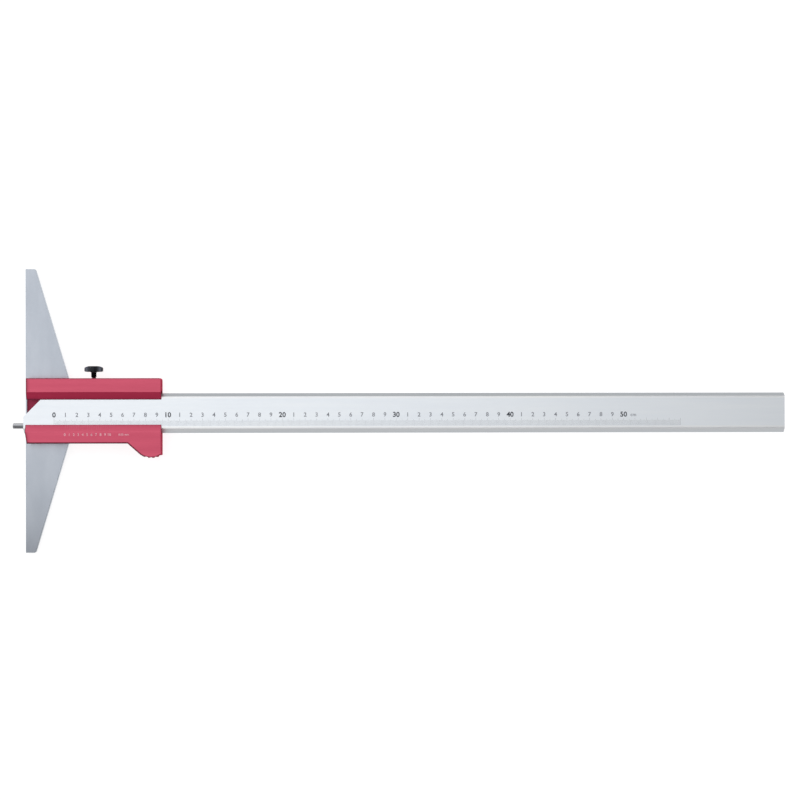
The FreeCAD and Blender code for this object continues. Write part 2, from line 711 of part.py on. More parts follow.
def make_lock_screw():
    """Stud with a spigot below and a two-lobed wing head moulded on its top."""
    radius, spigot = "(Sizes.thread_size / 2)", "(Sizes.spigot_diameter / 2)"
    shoulder = f"({GIB_OUTSIDE} + Sizes.pad_thick + Sizes.turn_clearance)"
    head_level = f"({SLIDER_TOP} + Sizes.lock_neck_length)"
    length = f"({head_level} + Sizes.wing_seat_depth - {shoulder})"
    stud_corners = (
        ("0", "(-Sizes.spigot_length)"),
        (spigot, "(-Sizes.spigot_length)"),
        (spigot, "0"),
        (radius, "0"),
        (radius, length),
        ("0", length),
    )
    stud = turned_body("lock_screw_stud", stud_corners)
    put(stud, LOCK_X, shoulder, SCREW_LEVEL, axis=(1, 0, 0), turn=-90)

    wing = new_body("lock_screw_wing")
    lobe = "(Sizes.wing_thick / 2)"
    straight = f"(Sizes.wing_span / 2 - {lobe})"
    plan = new_sketch(wing, "plan", "XY_Plane")
    plan_corners = (
        (f"(-{straight})", f"(-{lobe})"),
        (straight, f"(-{lobe})"),
        (straight, lobe),
        (f"(-{straight})", lobe),
    )
    round_end = (f"({lobe} * 1.0001)", 1)
    outline(plan, plan_corners, arcs={1: round_end, 3: round_end})
    pad(plan, "Sizes.wing_height")
    hub = new_sketch(wing, "hub", "XY_Plane")
    circles(hub, (("0", "0"),), "Sizes.wing_hub")
    solid = pad(hub, "Sizes.wing_height")
    limit = value("Sizes.wing_hub") / 2 + 0.001

    def is_waist(edge):
        box = edge.BoundBox
        return runs_along_z(edge) and abs(box.XMin) < limit and abs(box.YMin) > 0.1

    fillet(solid, "Sizes.wing_waist_radius", is_waist)
    crown = new_sketch(wing, "crown", "XZ_Plane")
    reach = "(Sizes.wing_span / 2 + Sizes.wing_top_bevel)"
    fall = f"(Sizes.wing_crown_radius - sqrt(Sizes.wing_crown_radius ^ 2 - {reach} ^ 2))"
    crown_corners = (
        (f"(-{reach})", f"(Sizes.wing_height - {fall})"),
        (reach, f"(Sizes.wing_height - {fall})"),
        (reach, f"(Sizes.wing_height + {fall})"),
        (f"(-{reach})", f"(Sizes.wing_height + {fall})"),
    )
    outline(crown, crown_corners, arcs={0: ("Sizes.wing_crown_radius", -1)})
    solid = pocket(crown)
    half_height = value("Sizes.wing_height") / 2
    solid = chamfer(
        solid,
        "Sizes.wing_top_bevel",
        lambda edge: edge.BoundBox.ZMin > half_height,
    )
    chamfer(solid, "Sizes.wing_lower_break", lambda edge: lies_at(edge, 0))
    neck = new_sketch(wing, "neck", "XY_Plane", lift="(-Sizes.wing_neck_length)")
    circles(neck, (("0", "0"),), "Sizes.wing_neck")
    pad(neck, "(Sizes.wing_neck_length + Sizes.wing_height / 2)")
    seat = new_sketch(wing, "seat", "XY_Plane", lift="(-Sizes.wing_neck_length)")
    circles(seat, (("0", "0"),), THREAD_HOLE)
    pocket(seat, "(Sizes.wing_neck_length + Sizes.wing_seat_depth)", forward=True)
    put(wing, LOCK_X, head_level, SCREW_LEVEL, axis=(1, 0, 0), turn=-90)
    return [stud, wing]


pieces = [make_bridge(), make_slider(), make_beam(), make_measuring_pin()]
pieces.append(make_end_stop_screw())
for number, (x, y) in enumerate(BRIDGE_SCREWS, 1):
    pieces.append(make_bridge_screw(number, x, y))
for number, (x, y) in enumerate(DOWELS, 1):
    pieces.append(make_bridge_dowel(number, x, y))
pieces.append(make_gib_strip())
for number, x in enumerate(GIB_SCREWS, 1):
    pieces.append(make_gib_screw(number, x))
pieces.append(make_pressure_pad())
pieces.extend(make_lock_screw())
doc.recompute()

for item in doc.Objects:
    if "Invalid" in item.State or "Error" in item.State:
        raise RuntimeError(f"{item.Name} is {item.State}")
    if item.TypeId in ("PartDesign::Pocket", "PartDesign::Groove", "PartDesign::Hole"):
        if item.Shape.Volume > item.BaseFeature.Shape.Volume - 1e-6:
            raise RuntimeError(f"{item.Name} cuts nothing")
for piece in pieces:
    shape = piece.Shape
    if shape.isNull() or not shape.isValid() or len(shape.Solids) != 1:
        raise RuntimeError(f"{piece.Label} is not one valid solid")

os.makedirs("parts", exist_ok=True)
for piece in pieces:
    piece.Shape.exportStep(f"parts/{piece.Label}.step")
    print(piece.Label, round(piece.Shape.Volume, 1))
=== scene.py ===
import math

import bpy
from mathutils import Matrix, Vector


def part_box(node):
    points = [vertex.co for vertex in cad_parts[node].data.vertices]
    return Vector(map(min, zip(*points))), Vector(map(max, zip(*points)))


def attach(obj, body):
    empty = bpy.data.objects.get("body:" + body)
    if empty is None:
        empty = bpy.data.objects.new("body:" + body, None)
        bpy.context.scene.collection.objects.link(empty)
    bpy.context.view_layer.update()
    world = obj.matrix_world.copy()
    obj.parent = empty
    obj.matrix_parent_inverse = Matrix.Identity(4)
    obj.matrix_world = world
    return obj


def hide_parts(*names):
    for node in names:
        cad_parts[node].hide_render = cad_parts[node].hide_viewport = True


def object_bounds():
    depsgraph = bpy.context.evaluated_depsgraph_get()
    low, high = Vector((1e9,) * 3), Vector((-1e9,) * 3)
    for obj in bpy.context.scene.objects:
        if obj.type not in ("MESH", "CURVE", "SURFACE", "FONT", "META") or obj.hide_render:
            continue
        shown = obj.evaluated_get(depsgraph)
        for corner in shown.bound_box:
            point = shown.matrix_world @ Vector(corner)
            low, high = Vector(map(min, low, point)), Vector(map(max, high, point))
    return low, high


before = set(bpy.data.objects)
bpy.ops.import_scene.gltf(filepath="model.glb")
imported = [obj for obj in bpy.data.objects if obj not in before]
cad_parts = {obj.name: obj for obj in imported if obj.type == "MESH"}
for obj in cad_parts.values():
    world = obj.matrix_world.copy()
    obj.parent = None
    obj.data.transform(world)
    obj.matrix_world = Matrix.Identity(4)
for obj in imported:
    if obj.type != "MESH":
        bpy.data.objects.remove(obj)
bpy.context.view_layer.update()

bpy.ops.object.select_all(action="DESELECT")


# The bridge: a flat bar of tool steel, ground on every face and left bare. Its long straight
# edge rests on the work. The wheel's lines run across it, from the measuring edge outwards.
def new_finish(name, metallic=1.0):
    """A material for one finish, a metal unless it is said to be another stuff."""
    made = bpy.data.materials.new(name)
    made.use_nodes = True
    made.node_tree.nodes["Principled BSDF"].inputs["Metallic"].default_value = metallic
    return made


def noise(material, stretch, scale):
    """Noise on the object's own coordinates, in metres, stretched along one axis."""
    nodes, links = material.node_tree.nodes, material.node_tree.links
    place = nodes.new("ShaderNodeTexCoord")
    mapping = nodes.new("ShaderNodeMapping")
    mapping.inputs["Scale"].default_value = stretch
    texture = nodes.new("ShaderNodeTexNoise")
    texture.inputs["Scale"].default_value = scale
    texture.inputs["Detail"].default_value = 3.0
    links.new(place.outputs["Object"], mapping.inputs["Vector"])
    links.new(mapping.outputs["Vector"], texture.inputs["Vector"])
    return texture.outputs["Fac"]


def spread(material, source, low, high, start=0.3, end=0.7):
    """Carries a span, the noise's usual one unless another is given, to a new one."""
    node = material.node_tree.nodes.new("ShaderNodeMapRange")
    node.inputs["From Min"].default_value = start
    node.inputs["From Max"].default_value = end
    node.inputs["To Min"].default_value = low
    node.inputs["To Max"].default_value = high
    material.node_tree.links.new(source, node.inputs["Value"])
    return node.outputs["Result"]


def surface(material, grain, rough, bump, tone):
    """The grain drives the gloss and the bump, and a cloud changes the tone a little."""
    nodes, links = material.node_tree.nodes, material.node_tree.links
    shader = nodes["Principled BSDF"]
    links.new(spread(material, grain, *rough), shader.inputs["Roughness"])
    raised = nodes.new("ShaderNodeBump")
    raised.inputs["Strength"].default_value = 1.0
    raised.inputs["Distance"].default_value = bump
    links.new(grain, raised.inputs["Height"])
    links.new(raised.outputs["Normal"], shader.inputs["Normal"])
    dark, pale, cloud = tone
    mix = nodes.new("ShaderNodeMix")
    mix.data_type = "RGBA"
    mix.inputs["A"].default_value = (*dark, 1)
    mix.inputs["B"].default_value = (*pale, 1)
    links.new(spread(material, cloud, 0.0, 1.0), mix.inputs["Factor"])
    links.new(mix.outputs["Result"], shader.inputs["Base Color"])


def coordinate(material, axis):
    """The place along one axis, in metres."""
    nodes, links = material.node_tree.nodes, material.node_tree.links
    split = nodes.new("ShaderNodeSeparateXYZ")
    links.new(nodes.new("ShaderNodeTexCoord").outputs["Object"], split.inputs["Vector"])
    return split.outputs[axis]


def place_on(material, axis, start, end):
    """A place on the piece along one axis, 0 at the start and 1 at the end."""
    return spread(material, coordinate(material, axis), 0.0, 1.0, start, end)


def shade_by(material, source, stops):
    """Multiplies the colour by one that follows a value, given as greys or tints at stops."""
    nodes, links = material.node_tree.nodes, material.node_tree.links
    ramp = nodes.new("ShaderNodeValToRGB")
    elements = ramp.color_ramp.elements
    for stop in stops[1:-1]:
        elements.new(stop[0])
    elements[0].position, elements[-1].position = stops[0][0], stops[-1][0]
    for element, (place, *tint) in zip(elements, stops):
        element.color = (*(tint if len(tint) == 3 else tint * 3), 1)
    links.new(source, ramp.inputs["Fac"])
    socket = nodes["Principled BSDF"].inputs["Base Color"]
    multiply = nodes.new("ShaderNodeMix")
    multiply.data_type = "RGBA"
    multiply.blend_type = "MULTIPLY"
    multiply.inputs["Factor"].default_value = 1.0
    links.new(socket.links[0].from_socket, multiply.inputs["A"])
    links.new(ramp.outputs["Color"], multiply.inputs["B"])
    links.new(multiply.outputs["Result"], socket)


def coat_node(name, material):
    """Gives a carried-over solid its finish."""
    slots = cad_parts[name].data.materials
    slots.clear()
    slots.append(material)


BRIDGE_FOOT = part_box("bridge")[0].y

ground_steel = new_finish("ground_steel")
surface(
    ground_steel,
    noise(ground_steel, (40, 1.5, 40), 220),
    rough=(0.30, 0.40),
    bump=0.0000015,
    tone=((0.48, 0.52, 0.585), (0.55, 0.59, 0.655), noise(ground_steel, (1, 0.35, 1), 60)),
)
# Painted shade: the bridge grows darker towards the lower wing's end
shade_by(
    ground_steel,
    place_on(ground_steel, "Y", BRIDGE_FOOT, 0.0),
    ((0.0, 0.63), (0.2, 0.80), (0.45, 0.91), (0.75, 0.96), (1.0, 1.0)),
)
coat_node("bridge", ground_steel)


# The dowels and the measuring pin: hardened steel rod, ground round, in pressed seats.
# The stop screw in the beam's back is of the same bright steel.
def facing(material, axis):
    """How far a face turns along an axis, from -1 to 1."""
    nodes, links = material.node_tree.nodes, material.node_tree.links
    split = nodes.new("ShaderNodeSeparateXYZ")
    links.new(nodes.new("ShaderNodeNewGeometry").outputs["Normal"], split.inputs["Vector"])
    return split.outputs[axis]


hardened_steel = new_finish("hardened_steel")
steel_shader = hardened_steel.node_tree.nodes["Principled BSDF"]
steel_shader.inputs["Specular Tint"].default_value = (0.35, 0.35, 0.38, 1)
surface(
    hardened_steel,
    noise(hardened_steel, (30, 1, 1), 300),
    rough=(0.20, 0.32),
    bump=0.000001,
    tone=((0.60, 0.61, 0.645), (0.67, 0.68, 0.71), noise(hardened_steel, (1, 1, 1), 240)),
)
# Painted reflection: dark and bright bands round the pin and dowels, by which way each face turns
shade_by(
    hardened_steel,
    spread(hardened_steel, facing(hardened_steel, "Y"), 0.0, 1.0, -1.0, 1.0),
    ((0.05, 0.2), (0.22, 0.28), (0.5, 0.38), (0.68, 0.5), (0.72, 1.0), (0.86, 1.0), (0.90, 0.15)),
)
for name in ("bridge_dowel_1", "bridge_dowel_2", "measuring_pin", "end_stop_screw"):
    coat_node(name, hardened_steel)


# The slider: an aluminium section, milled, then dyed red when it was anodised. The lines of
# its drawing show along it under the dye. Painted shade darkens it along the broken edges.
def reckon(material, operation, first, second=0.0):
    """One step of arithmetic on outputs or plain numbers."""
    node = material.node_tree.nodes.new("ShaderNodeMath")
    node.operation = operation
    for socket, value in zip(node.inputs, (first, second)):
        if isinstance(value, float):
            socket.default_value = value
        else:
            material.node_tree.links.new(value, socket)
    return node.outputs["Value"]


def flatness(material):
    """How flat a face lies, upwards or downwards: 1 on the flats, 0 on the sides."""
    return reckon(material, "ABSOLUTE", facing(material, "Z"))


SLIDER_BACK, SLIDER_FRONT = 0.003, 0.017
CHANNEL_MIDDLE, CHANNEL_HALF = -0.0011, 0.0186


def channel_depth(material):
    """In the channel the height up from the slider's back, 0 to 1, and 1 outside it."""
    from_middle = reckon(material, "SUBTRACT", coordinate(material, "Y"), CHANNEL_MIDDLE)
    away = reckon(material, "ABSOLUTE", from_middle)
    outside = reckon(material, "GREATER_THAN", away, CHANNEL_HALF)
    height = place_on(material, "Z", SLIDER_BACK, SLIDER_FRONT)
    return reckon(material, "MAXIMUM", height, outside)


SLIDER_EDGE, HOOK_FOOT = 0.0286, -0.0413
HOOK_CENTRE, HOOK_RADIUS, HOOK_SLOPE = (0.1118, -0.0254, 0.0), 0.016, math.radians(41.5)


def lower_rim(material):
    """How far a point of the front lies in from the lower edge and the hook's outline."""
    nodes, links = material.node_tree.nodes, material.node_tree.links
    offset = nodes.new("ShaderNodeVectorMath")
    offset.operation = "SUBTRACT"
    offset.inputs[1].default_value = HOOK_CENTRE
    links.new(nodes.new("ShaderNodeTexCoord").outputs["Object"], offset.inputs[0])
    reach = []
    rise, run = math.sin(HOOK_SLOPE), math.cos(HOOK_SLOPE)
    for direction in ((rise, run, 0), (run, -rise, 0)):
        part = nodes.new("ShaderNodeVectorMath")
        part.operation = "DOT_PRODUCT"
        part.inputs[1].default_value = direction
        links.new(offset.outputs["Vector"], part.inputs[0])
        reach.append(part.outputs["Value"])
    below = reckon(material, "MINIMUM", reach[0], 0.0)
    past = reckon(material, "MAXIMUM", reach[1], 0.0)
    squares = [reckon(material, "MULTIPLY", value, value) for value in (below, past)]
    radius = reckon(material, "SQRT", reckon(material, "ADD", *squares))
    hook = reckon(material, "SUBTRACT", HOOK_RADIUS, radius)
    wall = reckon(material, "ADD", coordinate(material, "Y"), SLIDER_EDGE)
    return reckon(material, "MAXIMUM", hook, wall)


SLIDER_START = 0.0015
LOWER_LIP_ROOT, LOWER_RAIL_SLANT = -0.0187, 0.172
UPPER_LIP_EDGE, UPPER_RAIL_SETBACK = 0.0099, 0.001


def measuring_end(material):
    """How far in from the slider's end: slanted on the lower rail, set back on the upper."""
    y = coordinate(material, "Y")
    below = reckon(material, "MAXIMUM", reckon(material, "SUBTRACT", LOWER_LIP_ROOT, y), 0.0)
    slant = reckon(material, "MULTIPLY", below, LOWER_RAIL_SLANT)
    on_upper = reckon(material, "GREATER_THAN", y, UPPER_LIP_EDGE)
    setback = reckon(material, "MULTIPLY", on_upper, UPPER_RAIL_SETBACK)
    start = reckon(material, "ADD", reckon(material, "ADD", slant, setback), SLIDER_START)
    return reckon(material, "SUBTRACT", coordinate(material, "X"), start)


FLAT = 0.95


def on_flats(material, source, start, end):
    """The source from 0 at the start to 1 at the end on the flats, and 1 on other faces."""
    other = reckon(material, "LESS_THAN", flatness(material), FLAT)
    return reckon(material, "MAXIMUM", spread(material, source, 0.0, 1.0, start, end), other)


red_anodised = new_finish("red_anodised")
red_shader = red_anodised.node_tree.nodes["Principled BSDF"]
red_shader.inputs["Specular Tint"].default_value = (0.45, 0.06, 0.12, 1)
surface(
    red_anodised,
    noise(red_anodised, (1, 45, 45), 160),
    rough=(0.46, 0.56),
    bump=0.0000015,
    tone=((0.74, 0.129, 0.207), (0.80, 0.146, 0.229), noise(red_anodised, (0.05, 1, 1), 250)),
)
# Painted shade: the bevels, edge breaks and sides darker than the flats
shade_by(
    red_anodised,
    flatness(red_anodised),
    ((0.0, 0.8), (0.5, 0.7), (0.62, 0.45), (0.78, 0.45), (0.86, 1.0)),
)
# Painted shade: faces turned towards -Y darker and a deeper red, faces turned towards +Y a little
# darker
shade_by(
    red_anodised,
    spread(red_anodised, facing(red_anodised, "Y"), 0.0, 1.0, -1.0, 1.0),
    (
        (0.05, 0.8),
        (0.13, 0.3),
        (0.17, 0.3),
        (0.22, 0.66, 0.30, 0.44),
        (0.32, 0.66, 0.30, 0.44),
        (0.45, 1.0),
        (0.55, 1.0),
        (0.7, 0.94),
    ),
)
# Painted shade on faces turned towards the left end; a painted highlight on the right end's
# chamfers and slight painted shade on its end face
shade_by(
    red_anodised,
    spread(red_anodised, facing(red_anodised, "X"), 0.0, 1.0, -1.0, 1.0),
    (
        (0.05, 0.55),
        (0.25, 0.45),
        (0.42, 1.0),
        (0.72, 1.0),
        (0.80, 1.9),
        (0.90, 1.9),
        (0.95, 0.9),
    ),
)
# Painted shade in the channel, darker and a deeper red towards the slider's back
shade_by(
    red_anodised,
    channel_depth(red_anodised),
    ((0.1, 0.44, 0.30, 0.38), (0.3, 0.55, 0.42, 0.5), (0.9, 1.0)),
)
# Painted shade: a dark line along the lower edge and round the hook's outline, on the flats
shade_by(
    red_anodised,
    on_flats(red_anodised, lower_rim(red_anodised), 0.0004, 0.0016),
    ((0.0, 0.28), (0.5, 0.35), (0.75, 0.8), (1.0, 1.0)),
)
# Painted shade: darker towards the slider's left end, on the flats
shade_by(
    red_anodised,
    on_flats(red_anodised, measuring_end(red_anodised), 0.0, 0.004),
    ((0.0, 0.45), (0.22, 0.55), (0.45, 0.85), (1.0, 1.0)),
)
# Painted highlight on the lower lip's ridge, and painted shade along both lips' edges
shade_by(
    red_anodised,
    place_on(red_anodised, "Y", HOOK_FOOT, SLIDER_EDGE),
    (
        (0.0, 1.0),
        # Painted highlight on the ridge where the lower lip's bevel begins
        (0.320, 1.0),
        (0.326, 1.05, 1.12, 1.10),
        (0.331, 1.05, 1.12, 1.10),
        (0.337, 1.0),
        # Painted shade on the lower lip's edge
        (0.400, 1.0),
        (0.409, 0.82, 0.80, 0.80),
        (0.418, 0.82, 0.80, 0.80),
        (0.424, 1.0),
        # Painted shade on the upper lip's edge
        (0.727, 1.0),
        (0.731, 0.55, 0.90, 0.80),
        (0.741, 0.55, 0.90, 0.80),
        (0.748, 1.0),
        (1.0, 1.0),
    ),
)
coat_node("slider", red_anodised)


# The screws: blackened steel, with sockets for a key. Four hold the bridge from behind and
# two set the gib strip from the slider's top.
dark_steel = new_finish("dark_steel")
surface(
    dark_steel,
    noise(dark_steel, (1, 1, 1), 900),
    rough=(0.32, 0.52),
    bump=0.000002,
    tone=((0.035, 0.035, 0.04), (0.08, 0.08, 0.085), noise(dark_steel, (1, 1, 1), 300)),
)
for kind, count in (("bridge_screw", 4), ("gib_screw", 2)):
    for number in range(1, count + 1):
        coat_node(f"{kind}_{number}", dark_steel)


# The gib strip and the pressure pad: machined brass, which wears before the beam does. The
# strip lies between the slider's upper wall and the beam, and the pad presses on it.
brass = new_finish("gib_brass")
surface(
    brass,
    noise(brass, (1, 50, 50), 180),
    rough=(0.26, 0.42),
    bump=0.000002,
    tone=((0.66, 0.49, 0.23), (0.76, 0.60, 0.32), noise(brass, (0.5, 1, 1), 120)),
)
coat_node("gib_strip", brass)
coat_node("pressure_pad", brass)


# The beam: a drawn aluminium bar with bevelled edges, brushed along its length and satin
# anodised in its own colour, with painted shade on its bevels and sides and a painted highlight
# along both edges of the face. It slides in the channel.
BEAM_LOW, BEAM_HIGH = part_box("beam")

satin_aluminium = new_finish("satin_aluminium")
surface(
    satin_aluminium,
    noise(satin_aluminium, (0.6, 60, 60), 150),
    rough=(0.31, 0.40),
    bump=0.0000012,
    tone=((0.875, 0.92, 0.975), (0.92, 0.96, 1.0), noise(satin_aluminium, (0.05, 1, 1), 150)),
)
# Painted shade: the bevels and sides darker than the face
shade_by(
    satin_aluminium,
    flatness(satin_aluminium),
    ((0.0, 0.44), (0.5, 0.44), (0.6, 0.51), (0.78, 0.8), (0.84, 1.0)),
)
# Painted highlights: two strips along the face's edges
shade_by(
    satin_aluminium,
    place_on(satin_aluminium, "Y", BEAM_LOW.y, BEAM_HIGH.y),
    (
        (0.0, 1.0),
        (0.12, 1.07, 1.04, 1.01),
        (0.165, 1.07, 1.04, 1.01),
        (0.18, 1.0),
        (0.865, 1.0),
        (0.875, 1.08, 1.05, 1.02),
        (0.915, 1.08, 1.05, 1.02),
        (0.93, 1.0),
        (1.0, 1.0),
    ),
)
coat_node("beam", satin_aluminium)


# The beam's scale: 55 centimetres of lines cut in the face and filled with dark enamel. The
# lower ends pass under the slider's lower lip.
FILLING = 0.00002


def line(name, width, length, middle, level):
    """One filled line, half above its face and half below, with the filling a little hollow."""
    bpy.ops.mesh.primitive_cube_add(
        size=1, scale=(width, length, 2 * FILLING), location=(*middle, level)
    )
    mark = bpy.context.object
    mark.name = name
    bpy.ops.object.transform_apply(location=True, rotation=True, scale=True)
    bpy.ops.object.mode_set(mode="EDIT")
    bpy.ops.mesh.select_all(action="DESELECT")
    bpy.ops.object.mode_set(mode="OBJECT")
    for face in mark.data.polygons:
        face.select = face.normal.z > 0.9
    bpy.ops.object.mode_set(mode="EDIT")
    bpy.ops.mesh.inset(thickness=width * 0.2)
    bpy.ops.transform.translate(value=(0, 0, -FILLING * 0.4))
    bpy.ops.object.mode_set(mode="OBJECT")
    return mark


def repeat(piece, count, step):
    """Copies a piece along the beam with an array, and applies it."""
    row = piece.modifiers.new("row", "ARRAY")
    row.use_relative_offset = False
    row.use_constant_offset = True
    row.constant_offset_displace = (step, 0, 0)
    row.count = count
    bpy.context.view_layer.objects.active = piece
    bpy.ops.object.modifier_apply(modifier="row")


def gather(pieces, name):
    """Joins the pieces into the first of them."""
    bpy.ops.object.select_all(action="DESELECT")
    for piece in pieces:
        piece.select_set(True)
    bpy.context.view_layer.objects.active = pieces[0]
    bpy.ops.object.join()
    whole = bpy.context.object
    whole.name = name
    bpy.ops.object.select_all(action="DESELECT")
    return whole


ZERO = 0.0265
LINE_WIDTH, LINE_FOOT = 0.00012, -0.0133
MM_TOP, HALF_TOP, CM_TOP = -0.0086, -0.00775, -0.0069


def scale_line(place, top):
    """A line of the scale, at its place from the zero and up to its top."""
    middle = (ZERO + place, (top + LINE_FOOT) / 2)
    return line("tick", LINE_WIDTH, top - LINE_FOOT, middle, BEAM_HIGH.z)


first_four = scale_line(0.001, MM_TOP)
repeat(first_four, 4, 0.001)
last_four = scale_line(0.006, MM_TOP)
repeat(last_four, 4, 0.001)
scale = gather([scale_line(0, CM_TOP), first_four, scale_line(0.005, HALF_TOP), last_four], "scale")
repeat(scale, 55, 0.010)
scale = gather([scale, scale_line(0.550, CM_TOP)], "beam_scale_lines")

enamel = new_finish("dark_enamel", metallic=0.0)
surface(
    enamel,
    noise(enamel, (1, 1, 1), 4000),
    rough=(0.42, 0.62),
    bump=0.000002,
    tone=((0.04, 0.045, 0.06), (0.08, 0.09, 0.11), noise(enamel, (1, 1, 1), 900)),
)
scale.data.materials.append(enamel)
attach(scale, "beam")


# The beam's numbers: centimetres, cut and filled like the lines. Every tenth is larger and
# bolder, and the units start again after it.
CAPITAL = 0.72
FIGURE_DEPTH, FIGURE_LIFT = 0.000015, 0.000005


def words(text, height, middle, level, weight=0.0):
    """Figures of one height, made bolder by a weight, centred on a place and just proud of it."""
    bpy.ops.object.text_add(location=(0, 0, 0))
    figure = bpy.context.object
    figure.data.body = text
    figure.data.size = height / CAPITAL
    figure.data.offset = weight
    figure.data.extrude = FIGURE_DEPTH
    figure.data.resolution_u = 3
    bpy.ops.object.convert(target="MESH")
    figure = bpy.context.object
    xs = [v.co.x for v in figure.data.vertices]
    ys = [v.co.y for v in figure.data.vertices]
    figure.location = (
        middle[0] - (min(xs) + max(xs)) / 2,
        middle[1] - (min(ys) + max(ys)) / 2,
        level + FIGURE_LIFT,
    )
    bpy.ops.object.transform_apply(location=True, rotation=True, scale=True)
    return figure


NUMBER_MIDDLE = -0.0035
UNIT_HEIGHT, TEN_HEIGHT, WORD_HEIGHT = 0.0037, 0.0044, 0.0031
UNIT_WEIGHT, TEN_WEIGHT, WORD_WEIGHT = 0.0001, 0.00017, 0.00005
WORD_MIDDLE = (0.5350, NUMBER_MIDDLE - 0.0008)
units = [
    words(str(n), UNIT_HEIGHT, (ZERO + n * 0.01, NUMBER_MIDDLE), BEAM_HIGH.z, UNIT_WEIGHT)
    for n in range(1, 10)
]
unit_numbers = gather(units, "beam_unit_numbers")
repeat(unit_numbers, 5, 0.100)
tens = [
    words(str(n), TEN_HEIGHT, (ZERO + n * 0.01, NUMBER_MIDDLE), BEAM_HIGH.z, TEN_WEIGHT)
    for n in range(0, 60, 10)
]
ten_numbers = gather(tens, "beam_ten_numbers")
unit_word = words("cm", WORD_HEIGHT, WORD_MIDDLE, BEAM_HIGH.z, WORD_WEIGHT)
unit_word.name = "beam_unit_word"

grey_enamel = new_finish("grey_enamel", metallic=0.0)
surface(
    grey_enamel,
    noise(grey_enamel, (1, 1, 1), 4000),
    rough=(0.42, 0.62),
    bump=0.000002,
    tone=((0.25, 0.265, 0.30), (0.34, 0.36, 0.40), noise(grey_enamel, (1, 1, 1), 900)),
)
for piece, filling in (
    (unit_numbers, grey_enamel),
    (ten_numbers, enamel),
    (unit_word, grey_enamel),
):
    piece.data.materials.clear()
    piece.data.materials.append(filling)
    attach(piece, "beam")


# The vernier: 20 divisions on the lower lip's bevel that cover 39 mm of the beam's scale,
# burnt through the red dye to the bare aluminium, with its numbers on the flat below.
LIP_EDGE, LIP_ROOT = (-0.0122, 0.01376), (LOWER_LIP_ROOT, SLIDER_FRONT)
LIP_SLOPE = math.atan2(LIP_ROOT[1] - LIP_EDGE[1], LIP_ROOT[0] - LIP_EDGE[0])
VERNIER_ZERO = ZERO + 0.010
DIVISION = 0.039 / 20
DIVISION_WIDTH, DIVISION_START = 0.0001, 0.0002
SHORT_LENGTH, LONG_LENGTH = 0.0034, 0.0048


def vernier_line(number, length):
    """A line that runs along the bevel from just inside the lip's edge."""
    mark = line("division", DIVISION_WIDTH, length, (0, -length / 2 - DIVISION_START), 0)
    mark.select_set(True)
    mark.rotation_euler = (math.pi + LIP_SLOPE, 0, 0)
    mark.location = (VERNIER_ZERO + number * DIVISION, *LIP_EDGE)
    bpy.ops.object.transform_apply(location=True, rotation=True, scale=True)
    return mark


short_line = vernier_line(1, SHORT_LENGTH)
repeat(short_line, 10, 2 * DIVISION)
long_line = vernier_line(0, LONG_LENGTH)
repeat(long_line, 11, 2 * DIVISION)
vernier = gather([short_line, long_line], "vernier_lines")

RAIL_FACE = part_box("slider")[1].z
VERNIER_MIDDLE, VERNIER_HEIGHT = -0.0207, 0.0024
READING_PLACE, READING_HEIGHT = 0.0880, 0.0019
numbers = [
    words(str(n), VERNIER_HEIGHT, (VERNIER_ZERO + 2 * n * DIVISION, VERNIER_MIDDLE), RAIL_FACE)
    for n in range(0, 11)
]
numbers.append(words("0.05 mm", READING_HEIGHT, (READING_PLACE, VERNIER_MIDDLE), RAIL_FACE))
vernier_numbers = gather(numbers, "vernier_numbers")

burnt_number = new_finish("burnt_number", metallic=0.1)
surface(
    burnt_number,
    noise(burnt_number, (1, 1, 1), 3000),
    rough=(0.45, 0.65),
    bump=0.000002,
    tone=((0.94, 0.62, 0.68), (1.0, 0.74, 0.78), noise(burnt_number, (1, 1, 1), 900)),
)
burnt_line = new_finish("burnt_line", metallic=0.5)
surface(
    burnt_line,
    noise(burnt_line, (1, 1, 1), 3000),
    rough=(0.45, 0.65),
    bump=0.000002,
    tone=((0.62, 0.20, 0.26), (0.70, 0.32, 0.38), noise(burnt_line, (1, 1, 1), 900)),
)
for piece, burnt in ((vernier, burnt_line), (vernier_numbers, burnt_number)):
    piece.data.materials.clear()
    piece.data.materials.append(burnt)
    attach(piece, "slider")


# The lock screw's stud: M4 steel, rolled thread, blackened. Its foot is turned down to a
# spigot in the pressure pad, and its top is moulded into the wing.
STUD_LOW, STUD_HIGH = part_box("lock_screw_stud")
STUD_X = (STUD_LOW.x + STUD_HIGH.x) / 2
STUD_Z = (STUD_LOW.z + STUD_HIGH.z) / 2
SPIGOT_RADIUS, SPIGOT_LENGTH, SPIGOT_ROOT = 0.001, 0.0012, 0.0002
CREST, ROOT, PITCH = 0.0020, 0.00158, 0.0007
SHOULDER = STUD_LOW.y + SPIGOT_LENGTH
THREAD_LENGTH = STUD_HIGH.y - SHOULDER

# One turn's profile: a strip as high as the pitch, whose middle points move out to the crest
bpy.ops.mesh.primitive_plane_add(
    size=PITCH, location=(ROOT + PITCH / 2, 0, 0), rotation=(math.pi / 2, 0, 0)
)
thread = bpy.context.object
thread.name = "lock_screw_thread"
bpy.ops.object.transform_apply(location=True, rotation=True, scale=True)


def pick_points(piece, test):
    """Selects the points that pass the test, and goes back to edit mode."""
    bpy.ops.object.mode_set(mode="EDIT")
    bpy.ops.mesh.select_mode(type="VERT")
    bpy.ops.mesh.select_all(action="DESELECT")
    bpy.ops.object.mode_set(mode="OBJECT")
    for point in piece.data.vertices:
        point.select = test(point.co)
    bpy.ops.object.mode_set(mode="EDIT")


